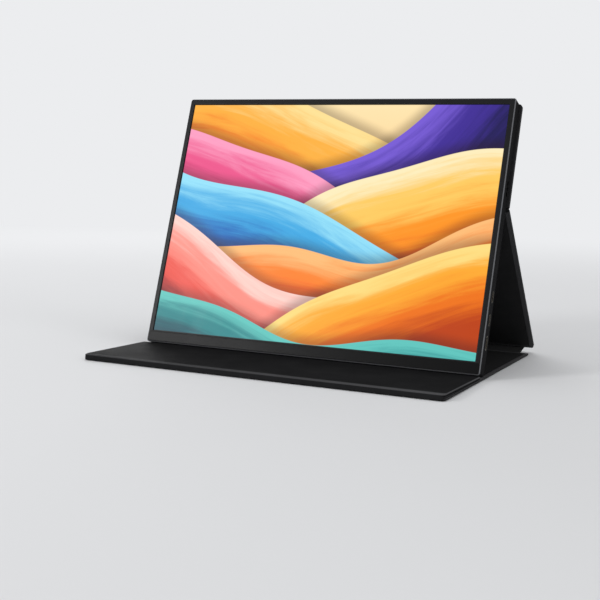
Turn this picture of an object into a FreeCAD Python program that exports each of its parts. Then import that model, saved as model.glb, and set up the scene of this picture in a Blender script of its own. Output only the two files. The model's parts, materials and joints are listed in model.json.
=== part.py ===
import FreeCAD, Part
import math
import os

# Portable monitor in a folio cover, standing on its folded cover.
# Millimetres. X across the screen, Y from the front edge of the flap to the back, Z up.
# The origin is on the table, at the middle of the standing object's outline.

# Screen and the border round it
screen_width = 310.0
screen_height = 223.0
side_border = 4.8
top_border = 5.3
chin_height = 10.7
black_line = 0.8            # black border left between the screen and the chin bar

# Monitor layers, from the front face to the back
bezel_thick = 0.7
tape_thick = 0.15
cell_thick = 1.2
diffuser_thick = 0.6
guide_thick = 1.6
reflector_thick = 0.2
backplate_thick = 0.5
socket_height = 3.2         # shell height of the sockets, across the monitor's depth
socket_gap = 2.0            # between the backplate and the sockets
board_thick = 1.2
boss_height = 1.1
back_wall = 1.55

# Monitor housing
rim_wall = 1.6
ledge_wide = 2.0            # shelf that carries the edge of the panel module
module_gap = 0.2            # all round the panel module, inside the rim
corner_radius = 2.2
edge_chamfer = 0.9          # bright bevel round the front edge
rear_round = 1.5
foot_round = 6.0            # larger rounding of the lower rear edge, which the monitor stands on

# Panel module
cell_overlap = 1.5          # glass beyond the picture at the sides and the top
cell_foot = 4.0             # glass beyond the picture at the chin
tape_margin = 0.8
led_height = 1.2
led_gap = 0.1

# Sockets on the right side, as heights above the monitor's bottom edge
usb_upper_at = 67.2
usb_lower_at = 47.6
hdmi_at = 28.4
usb_length = 9.0
hdmi_length = 11.2
socket_depth = 7.6
socket_wall = 0.3
socket_mouth = 5.6          # depth of the open mouth
socket_inset = 0.2          # of the shell behind the side face
socket_clear = 0.1          # round the shell, in the wall
tongue_thick = 0.7
tongue_side = 0.9           # room beside the tongue
tongue_back = 0.8           # tongue ends this far behind the mouth
hdmi_slant = 0.9            # sloped shoulders of the larger socket

# Keys on the right side
key_first_at = 156.2
key_pitch = 4.8
key_length = 3.3
key_height = 1.9
key_proud = 0.2
key_travel = 0.4
key_clear = 0.12            # round a key, in the wall
key_flange = 0.5            # wider than the hole, behind the wall
flange_thick = 0.8
flange_gap = 0.05
switch_deep = 1.8
switch_side = 2.6
switch_slack = 0.05
key_board_thick = 1.0
key_board_margin = 4.0

# Electronics
board_margin = 6.5          # of the main board beyond the outer sockets
board_length = 92.0
board_setback = 1.2         # of the board's edge from the side wall
screw_inset = 4.5
screw_radius = 1.0
screw_head_radius = 1.9
screw_head_height = 0.7
screw_clear = 0.15
boss_radius = 2.4
chip_side = 14.0
chip_thick = 1.2
chip_small = 8.0
chip_spacing = 24.0
driver_side = 70.8          # from the monitor's left side
driver_height = 10.0
driver_thick = 0.8
driver_foot = 5.5           # above the monitor's bottom edge
ribbon_width = 9.0
ribbon_thick = 0.3
ribbon_lap = 8.0            # of the ribbon on the main board
ribbon_place = 36.0         # from the main board's left edge
driver_lap = 8.0            # of the driver board past the ribbon
speaker_long = 38.0
speaker_wide = 13.0
speaker_deep = 3.6
speaker_wall_gap = 3.0
speaker_rise = 8.0          # above the main board's top edge
keeper_thick = 0.6
keeper_width = 196.0
keeper_height = 63.6
keeper_margin = 14.0        # below the monitor's top edge
post_radius = 2.5
post_inset = 22.0           # of the posts from the monitor's sides
post_foot = 9.0             # of the posts from the monitor's bottom and top
post_bore = 0.8
post_bore_deep = 4.0
post_head_radius = 1.9
post_head_height = 0.7

# Folio cover
cover_overhang = 2.0        # of the cover beyond each side of the monitor
skin_thick = 0.7
lining_thick = 0.5
base_board_thick = 0.4
panel_board_thick = 2.2
cover_corner = 3.0          # top corners of the upper panel
flap_corner = 3.0           # front corners of the flap
fold_corner = 2.2           # at corners beside the two rear folds
mid_corner = 0.3            # at corners beside the middle fold
strip_inset = 9.2           # the rear fold strip is narrower than the panels
rear_fold_gap = 2.5         # the base and the rear strip stop this far from the rear fold
mid_fold_gap = 0.75
fold_clear = 0.25           # between the leg's thick lower edge and the rear strip

# How the cover stands
lean_back = 18.1            # degrees of the monitor from upright
front_reach = 95.0          # of the flap ahead of the monitor's bottom front edge
rear_reach = 158.7          # of the rear fold behind it
spine_length = 19.7
spine_angle = 12.3          # degrees of the rear strip above the table
fold_height = 146.0         # of the middle fold, up the monitor's back

# Raised front pad, grip strip and magnets
pad_height = 3.7
pad_drop = 1.2              # the pad's top falls this far towards the monitor
pad_inset = 0.5             # of the pad from the flap's sides; its front is flush with the flap
pad_gap = 1.2               # between the pad and the monitor's front edge
pad_round = 1.8
grip_width = 8.0
grip_proud = 0.1
grip_side = 16.0            # of the grip strip's ends from the cover's sides
magnet_thick = 1.2
magnet_length = 20.0
magnet_width = 8.0
magnet_count = 4
pad_magnet_inset = 7.0      # from the flap's front edge

# Working clearances
seat_clear = 0.05           # between the monitor's lowest edge and the grip strip
back_clear = 0.15           # between the monitor's back and the cover's lining

# Sizes that follow
V = FreeCAD.Vector
across = V(1, 0, 0)
width = screen_width + 2 * side_border
height = chin_height + screen_height + top_border
cell_front = bezel_thick + tape_thick
diffuser_front = cell_front + cell_thick
guide_front = diffuser_front + diffuser_thick
reflector_front = guide_front + guide_thick
backplate_front = reflector_front + reflector_thick
ledge_front = backplate_front + backplate_thick
socket_front = ledge_front + socket_gap
socket_middle = socket_front + socket_height / 2
board_front = socket_front + socket_height
board_back = board_front + board_thick
wall_front = board_back + boss_height
depth = wall_front + back_wall
side = width / 2
inner_side = side - rim_wall - ledge_wide
module_half = side - rim_wall - module_gap
module_low = rim_wall + module_gap
module_high = height - module_low
cell_half = screen_width / 2 + cell_overlap
cell_low = chin_height - cell_foot
cell_high = chin_height + screen_height + cell_overlap
chin_top = chin_height - black_line

cover_width = width + 2 * cover_overhang
base_thick = skin_thick + base_board_thick + lining_thick
panel_thick = skin_thick + panel_board_thick + lining_thick
lean = math.radians(lean_back)
grip_top = base_thick + grip_proud
monitor_z = (grip_top + seat_clear + foot_round * (1 - math.cos(lean))
             + (depth - foot_round) * math.sin(lean))
contact_reach = foot_round * math.sin(lean) + (depth - foot_round) * math.cos(lean)
spine_run = spine_length * math.cos(math.radians(spine_angle))
monitor_y = (front_reach - rear_reach - spine_run) / 2
front_y = monitor_y - front_reach
rear_fold = V(0, monitor_y + rear_reach, 0)


def turned(angle):
    # Direction in the side view, in degrees up from straight back
    return V(0, math.cos(math.radians(angle)), math.sin(math.radians(angle)))


def frame_at(point, angle):
    return FreeCAD.Placement(point, FreeCAD.Rotation(across, angle))


# The folds: every axis lies in the outer face of the cover
upper_angle = 90 - lean_back
leg_fold = rear_fold + turned(spine_angle) * spine_length
cover_back = depth + back_clear + panel_thick
monitor_foot = V(0, monitor_y, monitor_z)
mid_fold = monitor_foot + turned(upper_angle) * fold_height + turned(-lean_back) * cover_back
leg_line = mid_fold - leg_fold
leg_length = leg_line.Length
leg_angle = math.degrees(math.atan2(leg_line.z, leg_line.y))
upper_length = height - fold_height

# The leg and the rear strip's lining stop short of their fold, so that the thick leg clears the strip
inside = math.radians(180 - leg_angle + spine_angle)
leg_gap = (skin_thick + fold_clear + panel_thick * math.cos(inside)) / math.sin(inside)
lining_gap = (leg_gap * math.cos(inside) + panel_thick * math.sin(inside)
              + lining_thick / math.tan(inside) + fold_clear)

base_frame = frame_at(V(0, 0, 0), 0)
spine_frame = frame_at(rear_fold, spine_angle)
leg_frame = frame_at(leg_fold, leg_angle)
upper_frame = frame_at(mid_fold, upper_angle)
monitor_frame = frame_at(monitor_foot, -lean_back)

os.makedirs("parts", exist_ok=True)


def save(name, shape, frame):
    placed = shape.copy()
    placed.Placement = frame.multiply(placed.Placement)
    placed.exportStep("parts/" + name + ".step")
    solids = len(placed.Solids)
    print("%-18s solids %d  volume %.1f  valid %s" % (name, solids, placed.Volume, placed.isValid()))


def block(x_low, x_high, y_low, y_high, z_low, z_high):
    return Part.makeBox(x_high - x_low, y_high - y_low, z_high - z_low, V(x_low, y_low, z_low))


def outline(half, low, high, low_radius, high_radius, first, second, start):
    # Rectangle with rounded corners, centred on the first direction, low to high on the second
    def at(a, b):
        return start + first * a + second * b

    def corner(a_sign, b_edge, radius, b_sign):
        bend = radius * (1 - math.sqrt(0.5))
        return [(a_sign * half, b_edge - b_sign * radius),
                (a_sign * (half - bend), b_edge - b_sign * bend),
                (a_sign * (half - radius), b_edge)]

    corners = [corner(1, high, high_radius, 1), corner(-1, high, high_radius, 1)[::-1],
               corner(-1, low, low_radius, -1), corner(1, low, low_radius, -1)[::-1]]
    edges = []
    for index, points in enumerate(corners):
        arc = [at(*point) for point in points]
        edges.append(Part.Arc(*arc).toShape())
        next_point = at(*corners[(index + 1) % len(corners)][0])
        if arc[2].distanceToPoint(next_point) > Part.Precision.confusion():
            edges.append(Part.LineSegment(arc[2], next_point).toShape())
    return Part.Face(Part.Wire(edges))


def plate(half, low, high, bottom, top, low_radius, high_radius):
    # Flat sheet of a cover panel: length on Y, thickness on Z
    face = outline(half, low, high, low_radius, high_radius, across, V(0, 1, 0), V(0, 0, bottom))
    return face.extrude(V(0, 0, top - bottom))


def sheet(half, low, high, front, back, radius):
    # Flat sheet of the monitor: height on Z, thickness on Y
    face = outline(half, low, high, radius, radius, across, V(0, 0, 1), V(0, front, 0))
    return face.extrude(V(0, back - front, 0))


def rod(radius, front, back, x, z):
    return Part.makeCylinder(radius, back - front, V(x, front, z), V(0, 1, 0))


# Cover

def skin_tray(half, low, high, thick, low_radius, high_radius):
    # Leather sheet with its edge turned up round the panel
    tray = plate(half, low, high, 0, thick, low_radius, high_radius)
    room = plate(half - skin_thick, low + skin_thick, high - skin_thick, skin_thick, thick,
                 max(low_radius - skin_thick, skin_thick / 2), max(high_radius - skin_thick, skin_thick / 2))
    return tray.cut(room)


def skin_filling(half, low, high, bottom, top, low_radius, high_radius):
    # Layer that fills a leather tray from edge to edge
    return plate(half - skin_thick, low + skin_thick, high - skin_thick, bottom, top,
                 max(low_radius - skin_thick, skin_thick / 2), max(high_radius - skin_thick, skin_thick / 2))


def magnet_places(half):
    spacing = 2 * half / magnet_count
    return [-half + spacing * (index + 0.5) for index in range(magnet_count)]


def magnet_row(half, middle, bottom):
    row = [block(x - magnet_length / 2, x + magnet_length / 2, middle - magnet_width / 2,
                 middle + magnet_width / 2, bottom, bottom + magnet_thick) for x in magnet_places(half)]
    return Part.makeCompound(row)


def bent_skin(half, before, after, reach):
    # Leather across a fold at the origin, from direction before to direction after
    start = turned(before) * -reach
    end = turned(after) * reach
    miter = skin_thick / math.cos(math.radians((after - before) / 2))
    inner = turned((before + after) / 2 + 90) * miter
    points = [start, V(0, 0, 0), end, end + turned(after + 90) * skin_thick, inner,
              start + turned(before + 90) * skin_thick]
    loop = [point - across * half for point in points]
    face = Part.Face(Part.makePolygon(loop + loop[:1]))
    return face.extrude(across * (2 * half))


def build_base():
    half = cover_width / 2
    rear = rear_fold.y - rear_fold_gap
    lining_low = skin_thick + base_board_thick
    save("base_outer_skin", skin_tray(half, front_y, rear, base_thick, flap_corner, fold_corner), base_frame)
    save("base_board", skin_filling(half, front_y, rear, skin_thick, lining_low, flap_corner, fold_corner),
         base_frame)
    lining = skin_filling(half, front_y, rear, lining_low, base_thick, flap_corner, fold_corner)
    grip_middle = monitor_y + contact_reach
    grip = plate(half - grip_side, grip_middle - grip_width / 2, grip_middle + grip_width / 2,
                 lining_low, grip_top, skin_thick, skin_thick)
    save("base_lining", lining.cut(grip), base_frame)
    save("grip_strip", grip, base_frame)


def pad_layer(half, high, top, margin):
    # Layer of the pad, set in by a margin, up to the plane that falls from its front towards the monitor
    layer = plate(half - margin, front_y + margin, high - margin, base_thick, top, flap_corner - margin,
                  fold_corner - margin)
    run = high - front_y
    above = Part.makeBox(cover_width, 2 * run, pad_height, V(-cover_width / 2, 0, 0))
    above.Placement = frame_at(V(0, front_y, top), -math.degrees(math.atan2(pad_drop, run)))
    return layer.cut(above)


def build_front_pad():
    half = cover_width / 2 - pad_inset
    high = monitor_y - pad_gap
    top = base_thick + pad_height
    pad = pad_layer(half, high, top, 0)
    rim = [edge for edge in pad.Edges if min(v.Z for v in edge.Vertexes) > top - pad_drop - pad_round]
    core = pad_layer(half, high, top - skin_thick, skin_thick)
    magnets = magnet_row(half, front_y + pad_magnet_inset, base_thick)
    save("front_pad_skin", pad.makeFillet(pad_round, rim).cut(core), base_frame)
    save("front_pad_board", core.cut(magnets), base_frame)
    save("front_pad_magnets", magnets, base_frame)


def build_spine():
    half = cover_width / 2 - strip_inset
    low = rear_fold_gap
    save("spine_skin", block(-half, half, low, spine_length - leg_gap, 0, skin_thick), spine_frame)
    save("spine_lining", block(-half, half, low, spine_length - lining_gap, skin_thick,
                               skin_thick + lining_thick), spine_frame)
    save("rear_fold_skin", bent_skin(half, 0, spine_angle, rear_fold_gap), frame_at(rear_fold, 0))
    save("leg_fold_skin", bent_skin(half, spine_angle, leg_angle, leg_gap), frame_at(leg_fold, 0))


def build_panel(name, low, high, low_radius, high_radius, frame, magnets):
    half = cover_width / 2
    lining_low = skin_thick + panel_board_thick
    save(name + "_outer_skin", skin_tray(half, low, high, panel_thick, low_radius, high_radius), frame)
    board = skin_filling(half, low, high, skin_thick, lining_low, low_radius, high_radius)
    save(name + "_board", board.cut(magnets) if magnets else board, frame)
    lining = skin_filling(half, low, high, lining_low, panel_thick, low_radius, high_radius)
    save(name + "_lining", lining, frame)


def build_leg_and_upper():
    build_panel("leg", leg_gap, leg_length - mid_fold_gap, fold_corner, mid_corner, leg_frame, None)
    middle = (upper_length + mid_fold_gap) / 2
    magnets = magnet_row(keeper_width / 2, middle, skin_thick + panel_board_thick - magnet_thick)
    build_panel("upper", mid_fold_gap, upper_length, mid_corner, cover_corner, upper_frame, magnets)
    save("upper_magnets", magnets, upper_frame)
    half = cover_width / 2 - mid_corner
    save("mid_fold_skin", bent_skin(half, leg_angle, upper_angle, mid_fold_gap), frame_at(mid_fold, 0))


# Monitor

def side_shape(face_outline, x_from, x_to):
    return face_outline(x_from).extrude(across * (x_to - x_from))


def capsule(at, length, thick):
    # Long rounded outline on the side wall, at a height, as a function of its X
    def face(x):
        start = V(x, socket_middle, at)
        round_off = thick / 2
        return outline(thick / 2, -length / 2, length / 2, round_off, round_off, V(0, 1, 0), V(0, 0, 1), start)
    return face


def shouldered(at, length, thick):
    # Outline of the larger socket: one long edge has sloped shoulders
    slant = hdmi_slant

    def face(x):
        front = socket_middle - thick / 2
        back = socket_middle + thick / 2
        corners = [(front, -length / 2), (back - slant, -length / 2), (back, -length / 2 + slant),
                   (back, length / 2 - slant), (back - slant, length / 2), (front, length / 2)]
        points = [V(x, y, at + z) for y, z in corners]
        return Part.Face(Part.makePolygon(points + points[:1]))
    return face


sockets = {"usb_c_upper": (capsule, usb_upper_at, usb_length),
           "usb_c_lower": (capsule, usb_lower_at, usb_length),
           "mini_video_socket": (shouldered, hdmi_at, hdmi_length)}
key_names = ["power_key", "menu_key", "volume_key"]
key_heights = [key_first_at + key_pitch * index for index in range(len(key_names))]
board_low = min(usb_upper_at, usb_lower_at, hdmi_at) - hdmi_length / 2 - board_margin
board_high = max(usb_upper_at, usb_lower_at, hdmi_at) + usb_length / 2 + board_margin
board_right = inner_side - board_setback
board_left = board_right - board_length
board_screw_spots = [(x, z) for x in (board_left + screw_inset, board_right - socket_depth - screw_inset)
                     for z in (board_low + screw_inset, board_high - screw_inset)]
post_spots = [(x, z) for x in (-side + post_inset, side - post_inset)
              for z in (post_foot, height - post_foot)]


def build_housing():
    body = sheet(side, 0, height, 0, depth, corner_radius)
    front_edges = [edge for edge in body.Edges if max(v.Y for v in edge.Vertexes) < edge_chamfer]
    body = body.makeChamfer(edge_chamfer, front_edges)
    rear_edges = [edge for edge in body.Edges if min(v.Y for v in edge.Vertexes) > depth - rear_round / 2]
    body = body.makeFillet(rear_round, rear_edges)
    foot_middle = V(-side, depth - foot_round, foot_round)
    corner = block(-side, side, depth - foot_round, depth, 0, foot_round)
    body = body.cut(corner.cut(Part.makeCylinder(foot_round, width, foot_middle, across)))
    inner_radius = corner_radius - rim_wall
    body = body.cut(sheet(side - rim_wall, rim_wall, height - rim_wall, 0, ledge_front, inner_radius))
    low = rim_wall + ledge_wide
    body = body.cut(sheet(inner_side, low, height - low, ledge_front, wall_front, inner_radius))
    for shape, at, length in sockets.values():
        hole = shape(at, length + 2 * socket_clear, socket_height + 2 * socket_clear)
        body = body.cut(side_shape(hole, inner_side - ledge_wide, side + rim_wall))
    for at in key_heights:
        hole = capsule(at, key_length + 2 * key_clear, key_height + 2 * key_clear)
        body = body.cut(side_shape(hole, inner_side - ledge_wide, side + rim_wall))
    for x, z in board_screw_spots:
        boss = rod(boss_radius, board_back, wall_front, x, z)
        body = body.fuse(boss).cut(rod(screw_radius, board_back, wall_front + back_wall / 2, x, z))
    for x, z in post_spots:
        body = body.cut(rod(post_head_radius, depth - post_head_height, depth, x, z))
        body = body.cut(rod(post_bore, wall_front, depth, x, z))
    save("rear_housing", body.removeSplitter(), monitor_frame)


def ring(half, low, high, window_half, window_low, window_high, front, back, radius):
    whole = sheet(half, low, high, front, back, radius)
    return whole.cut(block(-window_half, window_half, front, back, window_low, window_high))


def build_front():
    half = side - rim_wall
    radius = corner_radius - rim_wall
    screen_top = chin_height + screen_height
    face = ring(half, rim_wall, height - rim_wall, screen_width / 2, chin_height, screen_top,
                0, bezel_thick, radius)
    below = block(-side, side, 0, bezel_thick, 0, chin_top)
    save("front_bezel", face.cut(below), monitor_frame)
    save("chin_bar", face.common(below), monitor_frame)
    tape = ring(module_half, module_low, module_high, screen_width / 2 + tape_margin,
                chin_height - tape_margin, screen_top + tape_margin, bezel_thick, cell_front, radius)
    save("bezel_tape", tape, monitor_frame)


def build_panel_module():
    radius = corner_radius - rim_wall
    guide_low = cell_low + led_height + led_gap
    layers = [("lcd_cell", cell_low, cell_front, diffuser_front),
              ("diffuser_sheets", cell_low, diffuser_front, guide_front),
              ("light_guide", guide_low, guide_front, reflector_front),
              ("reflector_sheet", cell_low, reflector_front, backplate_front)]
    for name, low, front, back in layers:
        save(name, block(-cell_half, cell_half, front, back, low, cell_high), monitor_frame)
    save("led_bar", block(-screen_width / 2, screen_width / 2, guide_front, reflector_front,
                          cell_low, cell_low + led_height), monitor_frame)
    save("panel_frame", ring(module_half, module_low, module_high, cell_half, cell_low, cell_high,
                             cell_front, backplate_front, radius), monitor_frame)
    save("panel_backplate", sheet(module_half, module_low, module_high, backplate_front, ledge_front, radius),
         monitor_frame)


def build_sockets():
    mouth = side - socket_inset
    for name, (shape, at, length) in sockets.items():
        shell = side_shape(shape(at, length, socket_height), mouth, mouth - socket_depth)
        room = shape(at, length - 2 * socket_wall, socket_height - 2 * socket_wall)
        shell = shell.cut(side_shape(room, mouth, mouth - socket_mouth))
        tongue = block(mouth - socket_mouth, mouth - tongue_back, socket_middle - tongue_thick / 2,
                       socket_middle + tongue_thick / 2, at - length / 2 + socket_wall + tongue_side,
                       at + length / 2 - socket_wall - tongue_side)
        save(name, shell.fuse(tongue).removeSplitter(), monitor_frame)


def build_keys():
    stem_end = inner_side - flange_gap
    flange_end = stem_end - flange_thick
    switch_front = flange_end - key_travel - switch_slack
    board_face = switch_front - switch_deep
    switches = []
    for name, at in zip(key_names, key_heights):
        cap = side_shape(capsule(at, key_length, key_height), side + key_proud, stem_end)
        flange = capsule(at, key_length + 2 * key_flange, key_height + 2 * key_flange)
        save(name, cap.fuse(side_shape(flange, stem_end, flange_end)).removeSplitter(), monitor_frame)
        switches.append(block(board_face, switch_front, socket_middle - switch_side / 2,
                              socket_middle + switch_side / 2, at - switch_side / 2, at + switch_side / 2))
    save("key_switches", Part.makeCompound(switches), monitor_frame)
    board = block(board_face - key_board_thick, board_face, socket_front, wall_front,
                  key_heights[0] - key_board_margin, key_heights[-1] + key_board_margin)
    save("key_board", board, monitor_frame)


def build_electronics():
    board = block(board_left, board_right, board_front, board_back, board_low, board_high)
    screws = []
    for x, z in board_screw_spots:
        board = board.cut(rod(screw_radius + screw_clear, board_front, board_back, x, z))
        head = rod(screw_head_radius, board_front - screw_head_height, board_front, x, z)
        screws.append(head.fuse(rod(screw_radius, board_front, wall_front, x, z)).removeSplitter())
    save("main_board", board, monitor_frame)
    save("board_screws", Part.makeCompound(screws), monitor_frame)
    chips = []
    chip_middle = (board_low + board_high) / 2
    for x, chip in ((board_left + chip_spacing, chip_small), (board_left + 2 * chip_spacing, chip_side)):
        chips.append(block(x - chip / 2, x + chip / 2, board_front - chip_thick, board_front,
                           chip_middle - chip / 2, chip_middle + chip / 2))
    save("board_chips", Part.makeCompound(chips), monitor_frame)
    ribbon_x = board_left + ribbon_place
    driver_right = ribbon_x + driver_lap
    driver_top = driver_foot + driver_height
    save("panel_driver_board", block(driver_side - side, driver_right, ledge_front,
                                     ledge_front + driver_thick, driver_foot, driver_top), monitor_frame)
    save("panel_ribbon", ribbon(ribbon_x, driver_top), monitor_frame)


def ribbon(middle, driver_top):
    # Flat cable that lies on the driver board, steps back and runs up the main board's front
    left = middle - ribbon_width / 2
    right = middle + ribbon_width / 2
    low_face = ledge_front + driver_thick
    high_face = board_front - ribbon_thick
    foot = block(left, right, low_face, low_face + ribbon_thick, driver_foot, driver_top)
    step = block(left, right, low_face, board_front, driver_top, driver_top + ribbon_thick)
    rise = block(left, right, high_face, board_front, driver_top, max(board_low, driver_top) + ribbon_lap)
    return foot.fuse([step, rise]).removeSplitter()


def build_fittings():
    speaker_low = board_high + speaker_rise
    outer = inner_side - speaker_wall_gap
    names = {"speaker_left": -1, "speaker_right": 1}
    for name, hand in names.items():
        middle = hand * (outer - speaker_wide / 2)
        face = outline(speaker_wide / 2, speaker_low, speaker_low + speaker_long, speaker_wide / 4,
                       speaker_wide / 4, across, V(0, 0, 1), V(middle, wall_front - speaker_deep, 0))
        save(name, face.extrude(V(0, speaker_deep, 0)), monitor_frame)
    keeper = block(-keeper_width / 2, keeper_width / 2, wall_front - keeper_thick, wall_front,
                   height - keeper_margin - keeper_height, height - keeper_margin)
    save("keeper_plate", keeper, monitor_frame)
    posts = []
    screws = []
    for x, z in post_spots:
        post = rod(post_radius, ledge_front, wall_front, x, z)
        posts.append(post.cut(rod(post_bore, wall_front - post_bore_deep, wall_front, x, z)))
        head = rod(post_head_radius, depth - post_head_height, depth, x, z)
        shank = rod(post_bore, wall_front - post_bore_deep, depth - post_head_height, x, z)
        screws.append(head.fuse(shank).removeSplitter())
    save("panel_posts", Part.makeCompound(posts), monitor_frame)
    save("housing_screws", Part.makeCompound(screws), monitor_frame)


build_base()
build_front_pad()
build_spine()
build_leg_and_upper()
build_housing()
build_front()
build_panel_module()
build_sockets()
build_keys()
build_electronics()
build_fittings()

for label, point in (("rear_fold", rear_fold), ("leg_fold", leg_fold), ("mid_fold", mid_fold),
                     ("monitor_foot", monitor_foot)):
    print("axis %-12s y %.4f z %.4f" % (label, point.y, point.z))
print("angles spine %.4f leg %.4f upper %.4f" % (spine_angle, leg_angle, upper_angle))
print("monitor %.2f x %.2f x %.2f, leg %.2f, upper %.2f, spine %.2f, flap %.2f" % (
    width, height, depth, leg_length, upper_length, spine_length, front_reach + rear_reach))
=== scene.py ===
import json
import math

import bpy
import numpy as np
from mathutils import Matrix


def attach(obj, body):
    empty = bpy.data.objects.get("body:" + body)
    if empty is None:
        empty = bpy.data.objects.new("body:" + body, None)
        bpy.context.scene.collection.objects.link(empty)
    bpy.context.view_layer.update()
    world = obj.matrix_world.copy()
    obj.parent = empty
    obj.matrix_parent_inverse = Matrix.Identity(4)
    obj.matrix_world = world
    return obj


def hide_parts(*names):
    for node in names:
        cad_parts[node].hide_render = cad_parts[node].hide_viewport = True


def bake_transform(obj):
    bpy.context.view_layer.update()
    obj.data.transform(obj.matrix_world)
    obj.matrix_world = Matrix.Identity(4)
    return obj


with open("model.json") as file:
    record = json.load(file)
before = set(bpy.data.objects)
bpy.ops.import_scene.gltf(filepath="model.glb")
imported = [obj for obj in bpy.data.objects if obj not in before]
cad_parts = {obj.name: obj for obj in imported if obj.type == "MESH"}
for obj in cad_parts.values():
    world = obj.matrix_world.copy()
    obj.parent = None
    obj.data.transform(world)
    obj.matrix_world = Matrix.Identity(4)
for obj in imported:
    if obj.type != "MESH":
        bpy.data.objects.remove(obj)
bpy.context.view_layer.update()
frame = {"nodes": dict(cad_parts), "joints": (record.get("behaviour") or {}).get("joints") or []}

# Portable monitor standing in its folio cover. Metres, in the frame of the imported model.
nodes = frame["nodes"]
joints = {joint["name"]: joint for joint in frame["joints"]}
scene = bpy.context.scene
scene.view_settings.view_transform = "Standard"
mm = 0.001
print("frame loaded,", len(nodes), "nodes")


# Panels and their own axes

across = np.array([1.0, 0.0, 0.0])


def panelFrame(pivot, toward):
    # a panel's axes: across the cover, along the panel, and out of its lined face (across x along)
    along = np.asarray(toward, float)
    along = along / np.linalg.norm(along)
    return {"pivot": np.asarray(pivot, float), "axes": np.stack([across, along, np.cross(across, along)])}


def placed(panel, u, v, w):
    # point = pivot + u across + v along + w out
    local = np.stack(np.broadcast_arrays(u, v, w), -1).astype(float)
    return panel["pivot"] + local @ panel["axes"]


def nodeBox(name, panel):
    # lowest and highest corner of a node in a panel's own axes
    mesh = nodes[name].data
    points = np.empty(len(mesh.vertices) * 3)
    mesh.vertices.foreach_get("co", points)
    local = (points.reshape(-1, 3) - panel["pivot"]) @ panel["axes"].T
    return local.min(0), local.max(0)


def slope(panel):
    along = panel["axes"][1]
    return math.atan2(along[2], along[1])


rearPivot, legPivot, midPivot = (np.array(joints[name]["pos_m"], float)
                                 for name in ("rear_fold", "leg_fold", "mid_fold"))
upright = np.array(joints["monitor_lift"]["axis"], float)
baseFrame = panelFrame((0, 0, 0), (0, 1, 0))
spineFrame = panelFrame(rearPivot, legPivot - rearPivot)
legFrame = panelFrame(legPivot, midPivot - legPivot)
upperFrame = panelFrame(midPivot, upright)
housingLow, housingHigh = nodeBox("rear_housing", upperFrame)
monitorFrame = panelFrame(placed(upperFrame, 0, housingLow[1], housingHigh[2]), upright)


# Shader helpers

def tint(red, green, blue):
    # screen colour 0 to 255 to the linear colour that shaders take
    part = np.array([red, green, blue]) / 255
    linear = np.where(part <= 0.04045, part / 12.92, ((part + 0.055) / 1.055) ** 2.4)
    return (*linear.tolist(), 1.0)


def feed(tree, node, inputs):
    # a socket is linked to the node's input, a plain value is set on it
    for key, value in inputs.items():
        if isinstance(value, bpy.types.NodeSocket):
            tree.links.new(value, node.inputs[key])
        else:
            node.inputs[key].default_value = value


def put(tree, kind, inputs=None, **settings):
    node = tree.nodes.new(kind)
    for key, value in settings.items():
        setattr(node, key, value)
    feed(tree, node, inputs or {})
    return node


def sums(tree, operation, first, second=None):
    inputs = {0: first} if second is None else {0: first, 1: second}
    return put(tree, "ShaderNodeMath", inputs, operation=operation).outputs[0]


def vectors(tree, operation, first, second=None):
    # all results of a vector math node: the vector comes first, a length goes by its name
    inputs = {0: first} if second is None else {0: first, 1: second}
    return put(tree, "ShaderNodeVectorMath", inputs, operation=operation).outputs


def parts(tree, vector):
    return put(tree, "ShaderNodeSeparateXYZ", {0: vector}).outputs


def spread(tree, value, low, high, toLow, toHigh, smooth=False):
    kind = "SMOOTHSTEP" if smooth else "LINEAR"
    return put(tree, "ShaderNodeMapRange", {0: value, 1: low, 2: high, 3: toLow, 4: toHigh},
               interpolation_type=kind).outputs[0]


def blended(tree, share, first, second):
    return put(tree, "ShaderNodeMix", {0: share, 6: first, 7: second}, data_type="RGBA").outputs[2]


def noise(tree, vector, scale, detail, roughness=0.5, distortion=0.0):
    return put(tree, "ShaderNodeTexNoise", {"Vector": vector, "Scale": scale, "Detail": detail,
                                            "Roughness": roughness, "Distortion": distortion}).outputs["Fac"]


def bumped(tree, height, strength, distance):
    return put(tree, "ShaderNodeBump", {"Strength": strength, "Distance": distance,
                                        "Height": height}).outputs[0]


def newGroup(name, inputs, outputs):
    group = bpy.data.node_groups.new(name, "ShaderNodeTree")
    for label, kind, value in inputs:
        socket = group.interface.new_socket(label, in_out="INPUT", socket_type="NodeSocket" + kind)
        if value is not None:
            socket.default_value = value
    for label in outputs:
        group.interface.new_socket(label, in_out="OUTPUT", socket_type="NodeSocketFloat")
    return group, group.nodes.new("NodeGroupInput").outputs, group.nodes.new("NodeGroupOutput")


def placeGroup(tree, group, inputs):
    return put(tree, "ShaderNodeGroup", inputs, node_tree=group).outputs


def nodeOf(tree, kind):
    return next(node for node in tree.nodes if node.type == kind)


def newMaterial(name):
    material = bpy.data.materials.new(name)
    material.use_nodes = True
    tree = material.node_tree
    return material, tree, nodeOf(tree, "BSDF_PRINCIPLED")


def ownCoords(tree, panel=None):
    # object coordinates, turned into a panel's own axes where one is named
    coords = put(tree, "ShaderNodeTexCoord").outputs["Object"]
    if panel is None:
        return coords
    turn = {"Vector": coords, "Location": panel["pivot"].tolist(), "Rotation": (slope(panel), 0, 0)}
    return put(tree, "ShaderNodeMapping", turn, vector_type="TEXTURE").outputs[0]


# Effects that several finishes share

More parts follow.
